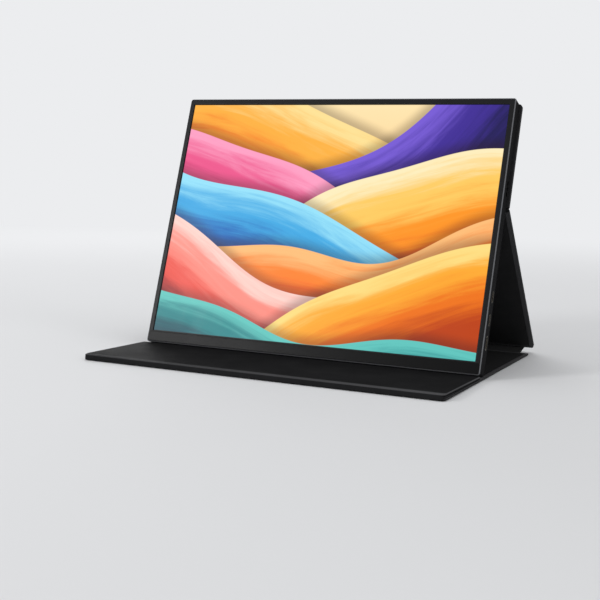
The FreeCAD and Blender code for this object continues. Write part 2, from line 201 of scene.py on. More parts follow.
def makeLeatherGrain():
    # pebbles are the gaps between warped cells, softened by a finer second set; mottle is slow cloudy noise
    tree, given, out = newGroup("leatherGrain", (("Vector", "Vector", None), ("Cells", "Float", 900.0)),
                                ("Height", "Mottle"))
    warp = put(tree, "ShaderNodeTexNoise", {"Vector": given["Vector"], "Scale": 260.0, "Detail": 2.0})
    shift = vectors(tree, "MULTIPLY", warp.outputs["Color"], (0.0012, 0.0012, 0.0012))[0]
    bent = vectors(tree, "ADD", given["Vector"], shift)[0]
    pebble = put(tree, "ShaderNodeTexVoronoi", {"Vector": bent, "Scale": given["Cells"]},
                 feature="DISTANCE_TO_EDGE").outputs["Distance"]
    fineScale = sums(tree, "MULTIPLY", given["Cells"], 2.3)
    fine = put(tree, "ShaderNodeTexVoronoi", {"Vector": bent, "Scale": fineScale},
               feature="SMOOTH_F1").outputs["Distance"]
    domes = spread(tree, pebble, 0.0, 0.28, 0.0, 1.0, True)
    cloud = noise(tree, given["Vector"], 26.0, 5.0, 0.62)
    feed(tree, out, {"Height": sums(tree, "SUBTRACT", domes, sums(tree, "MULTIPLY", fine, 0.25)),
                     "Mottle": spread(tree, cloud, 0.3, 0.7, 0.0, 1.0)})
    return tree


def makeFibreNap():
    # fibres are fine noise over a slower nap; tone follows both
    tree, given, out = newGroup("fibreNap", (("Vector", "Vector", None), ("Fineness", "Float", 3000.0)),
                                ("Height", "Tone"))
    fibre = noise(tree, given["Vector"], given["Fineness"], 3.0, 0.7)
    nap = noise(tree, given["Vector"], 70.0, 4.0)
    both = sums(tree, "ADD", sums(tree, "MULTIPLY", fibre, 0.55), sums(tree, "MULTIPLY", nap, 0.45))
    feed(tree, out, {"Height": fibre, "Tone": spread(tree, both, 0.32, 0.68, 0.0, 1.0)})
    return tree


def makeSatinGrain():
    # bead-blasted surface: tight grain for the bump, broad faint clouds and finger marks for tone and gloss
    tree, given, out = newGroup("satinGrain", (("Vector", "Vector", None), ("Grain", "Float", 2400.0),
                                               ("Clouds", "Float", 18.0)), ("Height", "Tone", "Marks"))
    grain = noise(tree, given["Vector"], given["Grain"], 2.0)
    cloud = noise(tree, given["Vector"], given["Clouds"], 4.0, 0.6)
    marks = noise(tree, given["Vector"], 9.0, 6.0, 0.72, 0.8)
    mixed = sums(tree, "ADD", sums(tree, "MULTIPLY", grain, 0.4), sums(tree, "MULTIPLY", cloud, 0.6))
    feed(tree, out, {"Height": grain, "Tone": spread(tree, mixed, 0.35, 0.65, 0.0, 1.0),
                     "Marks": spread(tree, marks, 0.42, 0.68, 0.0, 1.0, True)})
    return tree


def makeStadium():
    # stadium along the second axis: 1 where the way to its middle line is shorter than the radius, else 0
    tree, given, out = newGroup("sideStadium", (("Vector", "Vector", None), ("Middle", "Vector", None),
                                                ("Half", "Float", 0.003), ("Radius", "Float", 0.0013)),
                                ("Inside",))
    gap = vectors(tree, "SUBTRACT", given["Vector"], given["Middle"])[0]
    apart = parts(tree, vectors(tree, "ABSOLUTE", gap)[0])
    beyond = sums(tree, "MAXIMUM", sums(tree, "SUBTRACT", apart["Y"], given["Half"]), 0.0)
    away = sums(tree, "SQRT", sums(tree, "ADD", sums(tree, "MULTIPLY", beyond, beyond),
                                   sums(tree, "MULTIPLY", apart["Z"], apart["Z"])))
    inner = sums(tree, "MULTIPLY", given["Radius"], 0.94)
    feed(tree, out, {"Inside": spread(tree, away, inner, given["Radius"], 1.0, 0.0)})
    return tree


def makeWaveLayer():
    # crest = level + swell (sin(run) + 0.3 sin(2.1 run + 0.8)) where run = beat p + phase, in axes turned by
    # Turn; depth runs down from the crest, shade falls off above it, streaks follow the crest's line
    tree, given, out = newGroup("waveLayer", (
        ("Vector", "Vector", None), ("Turn", "Float", 0.0), ("Level", "Float", 0.5), ("Swell", "Float", 0.1),
        ("Beat", "Float", 4.0), ("Phase", "Float", 0.0), ("Reach", "Float", 0.5)),
        ("Mask", "Depth", "Shade"))
    turn = {"Vector": given["Vector"], "Center": (0.7, 0.5, 0.0), "Angle": given["Turn"]}
    apart = parts(tree, put(tree, "ShaderNodeVectorRotate", turn, rotation_type="Z_AXIS").outputs[0])
    run = sums(tree, "ADD", sums(tree, "MULTIPLY", apart["X"], given["Beat"]), given["Phase"])
    second = sums(tree, "SINE", sums(tree, "ADD", sums(tree, "MULTIPLY", run, 2.1), 0.8))
    wave = sums(tree, "ADD", sums(tree, "SINE", run), sums(tree, "MULTIPLY", second, 0.3))
    crest = sums(tree, "ADD", sums(tree, "MULTIPLY", wave, given["Swell"]), given["Level"])
    depth = sums(tree, "SUBTRACT", crest, apart["Y"])
    lane = put(tree, "ShaderNodeCombineXYZ", {"X": sums(tree, "MULTIPLY", apart["X"], 2.2),
                                              "Y": sums(tree, "MULTIPLY", depth, 26.0), "Z": given["Phase"]})
    streak = noise(tree, lane.outputs[0], 1.0, 5.0, 0.62, 0.5)
    stray = sums(tree, "MULTIPLY", sums(tree, "SUBTRACT", streak, 0.5), 0.55)
    feed(tree, out, {"Mask": spread(tree, depth, -0.0012, 0.0012, 0.0, 1.0),
                     "Depth": sums(tree, "ADD", sums(tree, "DIVIDE", depth, given["Reach"]), stray),
                     "Shade": spread(tree, depth, -0.06, 0.0, 0.0, 1.0, True)})
    return tree


leatherGrain = makeLeatherGrain()
fibreNap = makeFibreNap()
satinGrain = makeSatinGrain()
stadium = makeStadium()
waveLayer = makeWaveLayer()
print("shared effects ready")


# Finishes

def leatherFinish(name, look):
    # black coated leather: pebble bump, faint cloudy tone, gloss that follows the tone
    material, tree, shader = newMaterial(name)
    strip = look.get("strip")
    coords = put(tree, "ShaderNodeUVMap", uv_map="stripMap").outputs[0] if strip else ownCoords(tree)
    grain = placeGroup(tree, leatherGrain, {"Vector": coords, "Cells": look["cells"]})
    height = grain["Height"]
    colour = blended(tree, grain["Mottle"], look["dark"], look["light"])
    rough = spread(tree, grain["Mottle"], 0.0, 1.0, *look["rough"])
    if strip:
        # creases: noise drawn out along the fold, strongest at the fold's middle
        apart = parts(tree, coords)
        lane = put(tree, "ShaderNodeCombineXYZ", {"X": sums(tree, "MULTIPLY", apart["X"], 30.0),
                                                  "Y": sums(tree, "MULTIPLY", apart["Y"], 1500.0)})
        crease = noise(tree, lane.outputs[0], 1.0, 3.0)
        middle = spread(tree, sums(tree, "ABSOLUTE", apart["Y"]), 0.8 * mm, 3 * mm, 1.0, 0.0, True)
        wornAndLit = sums(tree, "MULTIPLY", spread(tree, crease, 0.45, 0.65, 0.0, 1.0), middle)
        height = sums(tree, "ADD", height, sums(tree, "MULTIPLY", wornAndLit, 1.6))
    else:
        # rubbed edges and painted highlight: the piece's own edge value, broken up by the mottle
        edge = put(tree, "ShaderNodeAttribute", attribute_name="edgeWearAndHighlight").outputs["Fac"]
        wornAndLit = sums(tree, "MULTIPLY", edge, spread(tree, grain["Mottle"], 0.0, 1.0, 0.82, 1.0))
        rough = sums(tree, "SUBTRACT", rough, sums(tree, "MULTIPLY", wornAndLit, 0.15))
    feed(tree, shader, {"Base Color": blended(tree, wornAndLit, colour, look["wornAndLit"]), "Roughness": rough,
                        "Normal": bumped(tree, height, look["bump"], 0.2 * mm),
                        "Specular IOR Level": look["gloss"]})
    return material


def liningFinish(name, look):
    # short-napped lining: fibre bump and tone, very low gloss, a little sheen
    material, tree, shader = newMaterial(name)
    nap = placeGroup(tree, fibreNap, {"Vector": ownCoords(tree), "Fineness": look["fineness"]})
    feed(tree, shader, {"Base Color": blended(tree, nap["Tone"], look["dark"], look["light"]),
                        "Roughness": spread(tree, nap["Tone"], 0.0, 1.0, *look["rough"]),
                        "Normal": bumped(tree, nap["Height"], look["bump"], 0.15 * mm),
                        "Specular IOR Level": look["gloss"], "Sheen Weight": look["sheen"]})
    return material


def satinParts(tree, look):
    # colour, roughness and height of a moulded or blasted surface; finger marks lower the roughness a little
    satin = placeGroup(tree, satinGrain, {"Vector": ownCoords(tree), "Grain": look.get("grain", 2400.0),
                                          "Clouds": look.get("clouds", 18.0)})
    smooth, rough = look["rough"]
    return (blended(tree, satin["Tone"], look["dark"], look["light"]),
            spread(tree, satin["Marks"], 0.0, 1.0, rough, smooth), satin["Height"])


def satinFinish(name, look):
    # the satin parts with a fine bump; plain plastic unless the look says metal
    material, tree, shader = newMaterial(name)
    colour, rough, height = satinParts(tree, look)
    feed(tree, shader, {"Base Color": colour, "Roughness": rough,
                        "Normal": bumped(tree, height, look.get("bump", 0.15), 0.08 * mm),
                        "Metallic": look.get("metal", 0.0), "Specular IOR Level": look.get("gloss", 0.4)})
    return material


# Mesh helpers

def gridFaces(rows, cols, wrapRows=False):
    # quads between neighbouring rings of a grid whose rings close on themselves
    r = np.arange(rows if wrapRows else rows - 1)[:, None]
    c = np.arange(cols)[None, :]
    below, above, beside = r * cols, (r + 1) % rows * cols, (c + 1) % cols
    return np.stack([below + c, below + beside, above + beside, above + c], -1).reshape(-1, 4)


def endCaps(rows, cols):
    # the first and the last ring of a grid as flat faces
    ring = np.arange(cols)
    return ring[::-1], ring + (rows - 1) * cols


def cornerTurns(steps=8):
    # turn of the outward direction along a ring's four corners: far right, far left, near left, near right
    return np.radians(np.linspace(0, 90, steps + 1)[None, :] + 90 * np.arange(4)[:, None])


def sideShare():
    # 1 along the two sides of a ring, 0 along its near and far edge, from one to the other in the corners
    return np.cos(cornerTurns()).reshape(1, -1) ** 2


def outlineRings(half, low, high, radii, steps=8):
    # rings of a rectangle with round corners: corner centre plus radius times cosine and sine of the turn;
    # half, low and high hold one value for each ring, radii one row of four, in the corners' order
    turn = cornerTurns(steps)
    signU, farSide = np.array([1, -1, -1, 1]), np.array([True, True, False, False])
    centreU = signU * (half[:, None] - radii)
    centreV = np.where(farSide, high[:, None] - radii, low[:, None] + radii)
    u = centreU[..., None] + radii[..., None] * np.cos(turn)
    v = centreV[..., None] + radii[..., None] * np.sin(turn)
    return u.reshape(len(half), -1), v.reshape(len(half), -1)


def edgeProfile(low, high, lowRound, highRound, flat=3 * mm, steps=6):
    # inset and height up a plate's edge: quarter arc out of the low face, wall, quarter arc into the high
    # face; the first and the last point lie on the flat faces
    turn = np.radians(np.linspace(0, 90, steps + 1))
    inset = np.concatenate([[lowRound + flat], lowRound * (1 - np.sin(turn)),
                            highRound * (1 - np.cos(turn)), [highRound + flat]])
    height = np.concatenate([[low], low + lowRound * (1 - np.cos(turn)),
                             high - highRound * (1 - np.sin(turn)), [high]])
    return inset, height


def meshPiece(name, points, quads, caps=(), finishes=(), which=None, flatMap=None, sharp=40, wearAndHighlight=None):
    # flatMap is the name of a map and one pair for each point; the edge value, wear and painted highlight, is
    # one value for each point
    mesh = bpy.data.meshes.new(name)
    mesh.from_pydata(points.reshape(-1, 3), [], quads.tolist() + [list(map(int, cap)) for cap in caps])
    for finish in finishes:
        mesh.materials.append(finish)
    if which is not None:
        mesh.polygons.foreach_set("material_index", np.asarray(which, np.int32))
    if flatMap is not None:
        mapName, pairs = flatMap
        corner = np.empty(len(mesh.loops), np.int32)
        mesh.loops.foreach_get("vertex_index", corner)
        pairs = pairs.reshape(-1, 2)[corner].astype(np.float32)
        mesh.uv_layers.new(name=mapName).data.foreach_set("uv", pairs.ravel())
    if wearAndHighlight is not None:
        values = mesh.attributes.new("edgeWearAndHighlight", "FLOAT", "POINT").data
        values.foreach_set("value", wearAndHighlight.astype(np.float32).ravel())
    mesh.polygons.foreach_set("use_smooth", np.ones(len(mesh.polygons), bool))
    mesh.set_sharp_from_angle(angle=math.radians(sharp))
    mesh.validate()
    mesh.update()
    piece = bpy.data.objects.new(name, mesh)
    scene.collection.objects.link(piece)
    return piece


leastCorner = 0.12 * mm        # an inset ring keeps at least this radius


def wrappedPlate(name, panel, bounds, radii, profile, finish, mapBox=None, wearAndHighlight=None, fall=0.0):
    # an edge profile (inset, height) carried round a rounded rectangle, closed by a flat face at each end;
    # the inset may hold three rows, for the sides, the near edge and the far edge, and each ring's height
    # may fall towards the far edge. A map box is the place of the map's origin and the length of its unit
    half, low, high = bounds
    inset, height = profile
    side, near, far = np.broadcast_to(inset, (3, len(height)))
    corner = np.maximum(np.asarray(radii, float)[None, :] - side[:, None], leastCorner)
    u, v = outlineRings(half - side, low + near, high - far, corner)
    tall = height[:, None] - np.reshape(fall, (-1, 1)) * (v - low) / (high - low)
    flatMap = None
    if mapBox is not None:
        startU, startV, unit = mapBox
        flatMap = ("pictureMap", np.stack([u - startU, v - startV], -1) / unit)
    if wearAndHighlight is not None:
        wearAndHighlight = np.broadcast_to(wearAndHighlight, u.shape)
    return meshPiece(name, placed(panel, u, v, tall), gridFaces(*u.shape), endCaps(*u.shape), (finish,),
                     flatMap=flatMap, wearAndHighlight=wearAndHighlight)


def flatBounds(name, panel):
    # half width, near and far edge of a node in a panel's axes, then its lowest and highest face
    low, high = nodeBox(name, panel)
    return (high[0], low[1], high[1]), low[2], high[2]


# Cover: leather trays, linings and the raised pad

# the light edge tone is rubbed wear and painted highlight on edges, walls and hems; on the folds it lightens
# the creases
coverLook = {"cells": 850.0, "dark": tint(17, 17, 18), "light": tint(23, 23, 24), "wornAndLit": tint(86, 86, 88),
             "rough": (0.7, 0.6), "bump": 0.28, "gloss": 0.018}
foldLook = {**coverLook, "strip": True, "wornAndLit": tint(44, 44, 45), "bump": 0.4}
liningLook = {"fineness": 2600.0, "dark": tint(25, 25, 26), "light": tint(39, 39, 40), "rough": (0.86, 0.98),
              "bump": 0.5, "gloss": 0.1, "sheen": 0.06}
# the flap's lining is the cover lining painted darker: painted shade on the base's lining round and behind
# the monitor
shadedFlapLook = {**liningLook, "dark": tint(14, 14, 15), "light": tint(22, 22, 23), "gloss": 0.03, "sheen": 0.02}
coverLeather = leatherFinish("coverLeather", coverLook)
foldLeather = leatherFinish("foldLeather", foldLook)
coverLining = liningFinish("coverLining", liningLook)
shadedFlapLining = liningFinish("shadedFlapLining", shadedFlapLook)

# edge values of the leather: a painted lightening of the wall, and a painted highlight with rubbed wear on
# the rim and hem
trayShape = {"rim": 0.4 * mm, "hemFrom": 0.6 * mm, "hem": 3.6 * mm, "hemEdge": 0.2 * mm, "ledge": 2 * mm,
             "recess": 0.3 * mm, "liningFoot": 0.5 * mm, "liningDrop": 0.14 * mm,
             "liningRounds": (0.05 * mm, 0.12 * mm), "liningCorner": 0.4 * mm,
             "wallPaintedLight": 0.16, "rimWearAndHighlight": 0.5, "hemEdgeWearAndHighlight": 0.2}
trayPlaces = {
    "base": {"nodes": ("base_outer_skin", "base_lining"), "panel": baseFrame, "body": "base",
             "nearCorner": 4.4 * mm, "farCorner": 2.2 * mm, "outer": 0.9 * mm,
             "hemWearAndHighlight": 0.85, "endShare": 1.0, "lining": shadedFlapLining},
    "leg": {"nodes": ("leg_outer_skin", "leg_lining"), "panel": legFrame, "body": "leg",
            "nearCorner": 2.2 * mm, "farCorner": 0.3 * mm, "outer": 0.5 * mm,
            "hemWearAndHighlight": 0.9, "endShare": 0.3, "lining": coverLining},
    "upper": {"nodes": ("upper_outer_skin", "upper_lining"), "panel": upperFrame, "body": "upper_panel",
              "nearCorner": 0.3 * mm, "farCorner": 3.0 * mm, "outer": 0.5 * mm,
              "hemWearAndHighlight": 0.3, "endShare": 1.0, "lining": coverLining},
}


def buildTray(name, place):
    # leather turned over the board's edge and in by a hem, and the lining laid just below the hem;
    # the edge value is a painted lightening of the wall, a painted highlight with wear over the rim, and a
    # hem lightened by wear and painted highlight; the hem's value is lowered to its end share where it runs
    # across the panel
    shape, panel = trayShape, place["panel"]
    skinNode, liningNode = place["nodes"]
    bounds, low, high = flatBounds(skinNode, panel)
    inset, height = edgeProfile(low, high, place["outer"], shape["rim"])
    steps = (len(inset) - 2) // 2
    hem, edge, ledgeAt = shape["hem"], shape["hemEdge"], high - shape["recess"]
    inset = np.concatenate([inset[:-1], [shape["rim"] + shape["hemFrom"], hem - edge, hem, hem + edge / 4,
                                         hem + shape["ledge"]]])
    height = np.concatenate([height[:-1], [high, high, high - edge / 2, ledgeAt, ledgeAt]])
    # painted highlight with rubbed wear: a bell over the rim arc, on top of the wall's painted lightening
    rubbedAndLit = shape["wallPaintedLight"] + shape["rimWearAndHighlight"] * np.sin(np.linspace(0, np.pi, steps)) ** 0.7
    hemWearAndHighlight, endShare = place["hemWearAndHighlight"], place["endShare"]
    wearAndHighlight = np.concatenate([[0], np.full(steps, shape["wallPaintedLight"]), rubbedAndLit,
                           [hemWearAndHighlight, hemWearAndHighlight, hemWearAndHighlight + shape["hemEdgeWearAndHighlight"], 0, 0]])
    onHem = np.arange(len(wearAndHighlight))[:, None] > 2 * steps + 1
    wearAndHighlight = wearAndHighlight[:, None] * np.where(onHem, endShare + (1 - endShare) * sideShare(), 1.0)
    corners = np.repeat([place["farCorner"], place["nearCorner"]], 2)
    skin = wrappedPlate(name + "Skin", panel, bounds, corners, (inset, height), coverLeather, wearAndHighlight=wearAndHighlight)
    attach(skin, place["body"])
    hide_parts(skinNode)
    half, near, far = bounds
    profile = edgeProfile(high - shape["liningFoot"], high - shape["liningDrop"], *shape["liningRounds"])
    inner = np.maximum(corners - hem, shape["liningCorner"])
    lining = wrappedPlate(name + "Lining", panel, (half - hem, near + hem, far - hem), inner, profile,
                          place["lining"])
    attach(lining, place["body"])
    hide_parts(liningNode)


for trayName, trayPlace in trayPlaces.items():
    buildTray(trayName, trayPlace)

# edge values of the pad: a painted lightening of foot and wall, and a painted highlight with some wear along
# the top edge, weaker on the left side and stronger on the right
padShape = {"foot": 0.35 * mm, "footAt": 0.45 * mm, "brow": 1.1 * mm, "sideDeep": 0.8 * mm,
            "frontDeep": 5.5 * mm, "backDeep": 1.2 * mm, "groove": 0.6 * mm, "grooveTall": 0.9 * mm,
            "grooveSlant": 0.1 * mm, "flat": 3 * mm, "proud": 0.04 * mm, "drop": 1.2 * mm,
            "frontCorner": 3.7 * mm, "backCorner": 2.2 * mm, "wallPaintedLight": 0.12, "browWearAndHighlight": (0.32, 0.72)}


def buildPad():
    # leather drawn over a board and down the flap's front: a small arc at the foot, a wall with a thin groove
    # along both sides, and a quarter ellipse over the top edge, deepest along the front; all above the foot
    # falls towards the monitor
    shape = padShape
    low, high = nodeBox("front_pad_skin", baseFrame)
    top, brow = high[2], high[2] - shape["brow"]
    turn = np.radians(np.linspace(0, 90, 11))
    foot = shape["foot"] * (1 - np.sin(turn))
    groove = np.array([0, 1, 1])               # closed by the ellipse's first ring
    tall, slant = shape["grooveTall"], shape["grooveSlant"]
    height = np.concatenate([[shape["footAt"]], shape["footAt"] + shape["foot"] * (1 - np.cos(turn)),
                             brow - np.array([tall, tall - slant, slant]),
                             brow + shape["brow"] * np.sin(turn), [top]])
    rows = ((shape["sideDeep"], shape["groove"]), (shape["frontDeep"], 0), (shape["backDeep"], 0))
    inset = np.stack([np.concatenate([[shape["flat"]], foot, cut * groove, deep * (1 - np.cos(turn)),
                                      [deep + shape["flat"]]]) for deep, cut in rows])
    below, wall, above = np.zeros(1 + len(foot)), np.ones(len(groove)), np.zeros(len(turn) + 1)
    # painted light: foot and wall evenly lightened, the groove along the sides left out so it stays dark, and
    # a painted highlight with wear along the top edge, stronger on the right side
    plain = np.concatenate([below + 1, wall, np.cos(turn), [0]]) * shape["wallPaintedLight"]
    inGroove = np.concatenate([below, groove, above])
    rubbedAndLit = np.concatenate([below, wall * 0, np.sin(2 * turn) ** 0.6, [0]])
    leftWearAndHighlight, rightWearAndHighlight = shape["browWearAndHighlight"]
    cornerWearAndHighlight = np.array([rightWearAndHighlight, leftWearAndHighlight, leftWearAndHighlight, rightWearAndHighlight])       # in the corners' order
    wearAndHighlight = plain[:, None] * (1 - inGroove[:, None] * sideShare())
    wearAndHighlight += rubbedAndLit[:, None] * np.repeat(cornerWearAndHighlight, cornerTurns().shape[1])[None, :]
    bounds = (high[0], low[1] - shape["proud"], high[1])
    corners = np.repeat([shape["backCorner"], shape["frontCorner"]], 2)
    fall = np.concatenate([below, wall, above + 1]) * shape["drop"]
    pad = wrappedPlate("frontPadSkin", baseFrame, bounds, corners, (inset, height), coverLeather, wearAndHighlight=wearAndHighlight,
                       fall=fall)
    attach(pad, "base")
    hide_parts("front_pad_skin")


buildPad()

gripLook = {"dark": tint(17, 17, 18), "light": tint(30, 30, 31), "rough": (0.55, 0.75), "grain": 1800.0,
            "bump": 0.3, "gloss": 0.3}
gripShape = {"ribs": 6, "deep": 0.16 * mm, "stations": 97, "endFlat": 0.5 * mm}
gripRubber = satinFinish("gripRubber", gripLook)


def buildGrip():
    # ribs: height falls from the top by deep times half of one plus the cosine of the place across the strip
    (half, near, far), low, high = flatBounds("grip_strip", baseFrame)
    share = np.linspace(0, 1, gripShape["stations"])
    ribbed = high - gripShape["deep"] * (0.5 + 0.5 * np.cos(2 * np.pi * gripShape["ribs"] * share))
    v = np.concatenate([near + (far - near) * share, [far, near]])
    w = np.concatenate([ribbed, [low, low]])
    end = half - gripShape["endFlat"]
    u = np.array([half, end, -end, -half])
    grip = meshPiece("gripRibs", placed(baseFrame, u[:, None], v, w), gridFaces(len(u), len(v)),
                     endCaps(len(u), len(v)), (gripRubber,), sharp=60)
    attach(grip, "base")
    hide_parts("grip_strip")


buildGrip()
print("cover panels, pad and grip strip built")


# Folding strips of the cover

stripShape = {"stations": 33, "edgeSteps": 8, "flat": 1 * mm, "linedFrom": 0.45}
spineLength = np.linalg.norm(legPivot - rearPivot)
foldPlaces = {
    "rearFoldStrip": {"pivot": rearPivot, "before": baseFrame, "after": spineFrame, "thick": 1.15 * mm,
                      "sink": 0.1 * mm, "reach": (6 * mm, spineLength - 5.1 * mm), "gap": 2.5 * mm,
                      "bend": 4.4 * mm, "bodies": ("base", "spine"),
                      "nodes": ("rear_fold_skin", "spine_skin", "spine_lining"), "wide": "spine_skin"},
    "legFoldStrip": {"pivot": legPivot, "before": spineFrame, "after": legFrame, "thick": 0.66 * mm,
                     "sink": 0.13 * mm, "reach": (5.4 * mm, 6 * mm), "gap": 2.9 * mm,
                     "bend": 3.4 * mm, "bodies": ("spine", "leg"),
                     "nodes": ("leg_fold_skin",), "wide": "spine_skin"},
    "midFoldStrip": {"pivot": midPivot, "before": legFrame, "after": upperFrame, "thick": 1.15 * mm,
                     "sink": 0.1 * mm, "reach": (4 * mm, 4 * mm), "gap": 0.75 * mm,
                     "bend": 1.35 * mm, "bodies": ("leg", "upper_panel"),
                     "nodes": ("mid_fold_skin",), "wide": "mid_fold_skin"},
}


def foldPath(place):
    # the slope turns from one panel to the other by a smoothstep over the bend, and the place is the running
    # sum of the slope; both ends run straight on into the panels. The bend is moved so that its end lines
    # meet on the fold
    before, after = slope(place["before"]), slope(place["after"])
    share = np.linspace(0, 1, stripShape["stations"])
    angle = before + (after - before) * share ** 2 * (3 - 2 * share)
    step = place["bend"] / (len(share) - 1)
    middle = (angle[1:] + angle[:-1]) / 2
    run = np.concatenate([[[0, 0]], np.cumsum(step * np.stack([np.cos(middle), np.sin(middle)], -1), 0)])
    half = (after - before) / 2
    tangent = np.linalg.norm(run[-1]) / 2 / math.cos(half)
    first, last = (np.array([math.cos(a), math.sin(a)]) for a in (before, after))
    offset = (place["sink"] + place["thick"] / 2) / math.cos(half)
    bisector = before + half + math.pi / 2
    meet = place["pivot"][1:] + offset * np.array([math.cos(bisector), math.sin(bisector)])
    near, far = place["reach"]
    bend = run + meet - first * tangent
    line = np.concatenate([[bend[0] - first * (near - tangent)], bend, [bend[-1] + last * (far - tangent)]])
    angle = np.concatenate([[before], angle, [after]])
    length = np.concatenate([[0], np.cumsum(np.linalg.norm(np.diff(line, axis=0), axis=1))])
    return line, angle, length - (length[1] + length[-2]) / 2


def buildFold(name, place):
    # a thin stadium section carried along the fold's path: outer face, round edge, lined face, round edge
    line, angle, length = foldPath(place)
    half = nodeBox(place["wide"], spineFrame)[1][0]
    thin = place["thick"] / 2
    turn = np.linspace(-np.pi / 2, np.pi / 2, stripShape["edgeSteps"] + 1)
    flat = half - thin - stripShape["flat"]
    edge = half - thin + thin * np.cos(turn)
    u = np.concatenate([[flat, -flat], -edge, [-flat, flat], edge])     # this way round, faces point outwards
    w = np.concatenate([[-thin, -thin], thin * np.sin(turn), [thin, thin], thin * np.sin(turn[::-1])])
    outward = np.stack([-np.sin(angle), np.cos(angle)], -1)
    yz = line[:, None, :] + outward[:, None, :] * w[None, :, None]
    x, run = np.broadcast_arrays(u, length[:, None])
    lined = (w + np.roll(w, -1)) / 2 > stripShape["linedFrom"] * thin
    which = np.concatenate([np.tile(lined, len(line) - 1), [0, 0]])
    strip = meshPiece(name, np.concatenate([x[..., None], yz], -1), gridFaces(*x.shape), endCaps(*x.shape),
                      (foldLeather, coverLining), which, ("stripMap", np.stack([x, run], -1)), sharp=50)
    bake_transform(strip)
    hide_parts(*place["nodes"])


for foldName, foldPlace in foldPlaces.items():
    buildFold(foldName, foldPlace)
print("folding strips built")


# Monitor: picture, border, chin and housing

pictureBox = {"half": 155.0 * mm, "low": 10.7 * mm, "high": 233.7 * mm, "margin": 0.7 * mm, "soft": 0.0012,
              "ground": ((255, 170, 60), (255, 230, 176)), "shadow": tint(40, 14, 24), "shadowShare": 0.45,
              "unlit": tint(4, 4, 5), "light": tint(156, 156, 156)}
pictureTall = pictureBox["high"] - pictureBox["low"]
pictureLayers = [
    # turn, level, swell, beat, phase, reach, colours from the crest down
    (0.35, 0.86, 0.07, 3.1, 0.4, 0.50, ((255, 226, 150), (255, 178, 62), (244, 118, 24), (214, 70, 16))),
    (-0.55, 0.80, 0.10, 2.6, 2.1, 0.45, ((120, 92, 214), (64, 44, 150), (30, 24, 84), (18, 16, 52))),
    (0.20, 0.66, 0.09, 3.4, 1.2, 0.42, ((255, 160, 196), (238, 84, 140), (196, 34, 104), (122, 16, 78))),
    (-0.30, 0.58, 0.08, 3.8, 3.9, 0.40, ((255, 238, 190), (255, 204, 96), (255, 150, 30), (232, 96, 14))),
    (0.45, 0.47, 0.08, 3.0, 5.0, 0.36, ((150, 226, 250), (60, 170, 228), (20, 104, 186), (12, 56, 120))),
    (-0.15, 0.40, 0.07, 4.2, 0.9, 0.36, ((255, 190, 120), (255, 132, 40), (236, 82, 16), (176, 44, 12))),
    (0.30, 0.27, 0.07, 3.3, 2.8, 0.32, ((255, 214, 204), (255, 142, 128), (236, 80, 66), (168, 36, 40))),
    (-0.40, 0.17, 0.06, 3.7, 4.6, 0.30, ((255, 222, 130), (255, 172, 48), (240, 116, 20), (190, 66, 14))),
    (0.10, 0.07, 0.05, 4.4, 1.6, 0.26, ((96, 198, 190), (28, 132, 136), (14, 78, 92), (10, 44, 60))),
]
glassLook = {"dark": tint(5, 5, 6), "light": tint(9, 9, 10), "rough": (0.27, 0.34), "grain": 3200.0,
             "gloss": 0.12}
glassShape = {"round": 0.1 * mm, "flat": 0.4 * mm, "corner": 0.3 * mm}


def ramped(tree, value, colours, interpolation):
    # colours spread evenly over a value from 0 to 1
    node = put(tree, "ShaderNodeValToRGB", {0: value})
    ramp = node.color_ramp
    ramp.interpolation = interpolation
    while len(ramp.elements) < len(colours):
        ramp.elements.new(0.5)
    for index, colour in enumerate(colours):
        ramp.elements[index].position = index / (len(colours) - 1)
        ramp.elements[index].color = tint(*colour)
    return node.outputs[0]


def screenFinish(box):
    # lit picture of folded paint waves: each layer hides those behind it below its crest and shades them
    # above it; the light that it sheds on the cover is an even grey
    material, tree, shader = newMaterial("litPicture")
    coords = put(tree, "ShaderNodeUVMap", uv_map="pictureMap").outputs[0]
    apart = parts(tree, coords)
    picture = ramped(tree, apart["Y"], box["ground"], "LINEAR")
    for turn, level, swell, beat, phase, reach, colours in pictureLayers:
        layer = placeGroup(tree, waveLayer, {"Vector": coords, "Turn": turn, "Level": level, "Swell": swell,
                                             "Beat": beat, "Phase": phase, "Reach": reach})
        shade = sums(tree, "MULTIPLY", layer["Shade"], box["shadowShare"])
        paint = ramped(tree, layer["Depth"], colours, "EASE")
        picture = blended(tree, layer["Mask"], blended(tree, shade, picture, box["shadow"]), paint)
    inside = []
    for place, middle in ((apart["X"], box["half"] / pictureTall), (apart["Y"], 0.5)):
        away = sums(tree, "ABSOLUTE", sums(tree, "SUBTRACT", place, middle))
        edge = middle - box["margin"] / pictureTall
        inside.append(spread(tree, away, edge, edge + box["soft"], 1.0, 0.0))
    shown = blended(tree, sums(tree, "MULTIPLY", *inside), box["unlit"], picture)
    seen = put(tree, "ShaderNodeLightPath").outputs["Is Camera Ray"]
    colour, rough = satinParts(tree, glassLook)[:2]
    feed(tree, shader, {"Base Color": colour, "Roughness": rough, "Specular IOR Level": glassLook["gloss"],
                        "Emission Color": blended(tree, seen, box["light"], shown), "Emission Strength": 1.0})
    return material


def buildScreen():
    # thin glass slab; its flat map runs 0 to 1 up the picture and on at the same scale across it
    bounds, low, high = flatBounds("lcd_cell", monitorFrame)
    edge = glassShape["round"]
    profile = edgeProfile(low, high, edge, edge, flat=glassShape["flat"], steps=2)
    glass = wrappedPlate("screenGlass", monitorFrame, bounds, (glassShape["corner"],) * 4, profile,
                         screenFinish(pictureBox),
                         mapBox=(-pictureBox["half"], pictureBox["low"], pictureTall))
    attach(glass, "monitor")
    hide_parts("lcd_cell")


buildScreen()

